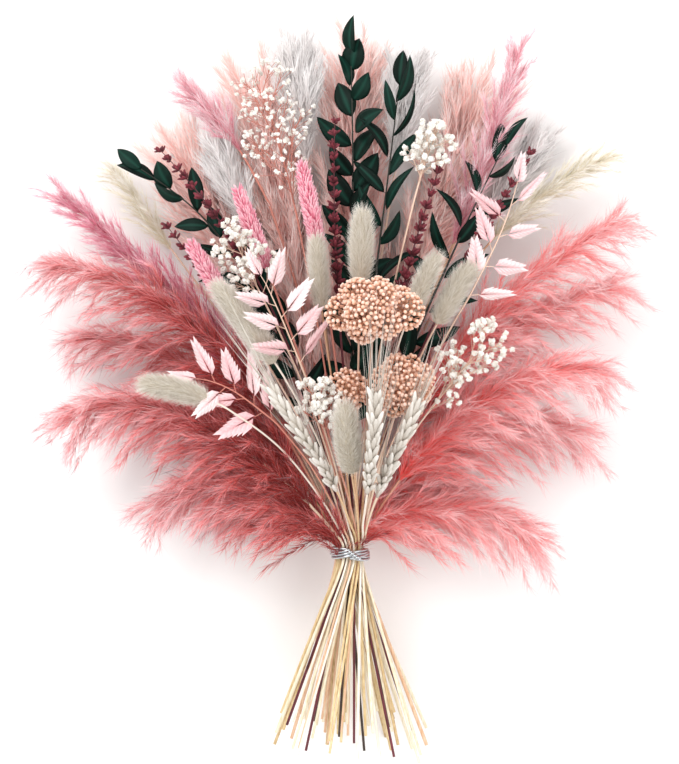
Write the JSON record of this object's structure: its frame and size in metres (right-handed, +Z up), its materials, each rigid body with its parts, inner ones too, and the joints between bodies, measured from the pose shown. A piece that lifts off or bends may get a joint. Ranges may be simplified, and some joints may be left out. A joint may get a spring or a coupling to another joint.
{
  "type": "bundle of pampas grass with dried flowers",
  "caption": "Hand-tied bundle of dried pampas plumes, seed heads, foliage and small flowers, bound with wire above splayed bare stems, lying on its back.",
  "frame": {"origin": "middle of the bundle's box, on the surface that it lies on", "axes": "+Y from the cut ends towards the tips of the plumes, +Z up from the surface, towards the front of the bundle, and +X to the right when it is seen from above with its plumes away from the viewer"},
  "size_m": [0.3672, 0.4274, 0.1393],
  "materials": {
    "coral_plume": "soft matte plant hair, dyed coral pink",
    "rose_plume": "soft matte plant hair, dyed rose pink",
    "blush_plume": "soft matte plant hair, dyed pale blush",
    "pearl_plume": "soft matte plant hair, dyed pale lavender grey",
    "cream_plume": "soft matte plant hair, undyed cream",
    "pink_spike": "fine matte bristles, dyed hot pink",
    "bunny_tail": "soft matte down, bleached off-white",
    "barley_ear": "dry bleached husk, faint sheen",
    "lavender": "dry matte buds, dyed burgundy",
    "rice_flower": "dry papery buds, dyed peach",
    "baby_breath": "dry papery petals, white",
    "leaf_branch": "preserved leaf, dark green, slight gloss",
    "oat_spray": "dry papery husk, dyed pale pink",
    "tie_wire": "bright silvery wire"
  },
  "bodies": {
    "root": {"coral_plume_left_1": "coral_plume", "coral_plume_left_2": "coral_plume", "coral_plume_left_3": "coral_plume", "coral_plume_left_4": "coral_plume", "coral_plume_left_5": "coral_plume", "coral_plume_left_6": "coral_plume", "coral_plume_right_1": "coral_plume", "coral_plume_right_2": "coral_plume", "coral_plume_right_3": "coral_plume", "coral_plume_right_4": "coral_plume", "coral_plume_right_5": "coral_plume", "coral_plume_right_6": "coral_plume", "rose_plume_left": "rose_plume", "rose_plume_top_left": "rose_plume", "rose_plume_right": "rose_plume", "blush_plume_1": "blush_plume", "blush_plume_2": "blush_plume", "blush_plume_3": "blush_plume", "blush_plume_4": "blush_plume", "pearl_plume_1": "pearl_plume", "pearl_plume_2": "pearl_plume", "pearl_plume_3": "pearl_plume", "pearl_plume_4": "pearl_plume", "cream_plume_left": "cream_plume", "cream_plume_right": "cream_plume", "leaf_branch_left": "leaf_branch", "leaf_branch_centre": "leaf_branch", "leaf_branch_right": "leaf_branch", "leaf_branch_far_right": "leaf_branch", "pink_spike_1": "pink_spike", "pink_spike_2": "pink_spike", "pink_spike_3": "pink_spike", "lavender_1": "lavender", "lavender_2": "lavender", "lavender_3": "lavender", "lavender_4": "lavender", "lavender_5": "lavender", "bunny_tail_1": "bunny_tail", "bunny_tail_2": "bunny_tail", "bunny_tail_3": "bunny_tail", "bunny_tail_4": "bunny_tail", "bunny_tail_5": "bunny_tail", "bunny_tail_6": "bunny_tail", "bunny_tail_7": "bunny_tail", "barley_ear_1": "barley_ear", "barley_ear_2": "barley_ear", "barley_ear_3": "barley_ear", "rice_flower_top": "rice_flower", "rice_flower_low": "rice_flower", "rice_flower_back": "rice_flower", "baby_breath_top_left": "baby_breath", "baby_breath_left": "baby_breath", "baby_breath_top_right": "baby_breath", "baby_breath_right": "baby_breath", "baby_breath_low": "baby_breath", "oat_spray_left": "oat_spray", "oat_spray_top_right": "oat_spray", "oat_spray_centre": "oat_spray", "tie_wire": "tie_wire"}
  },
  "joints": []
}
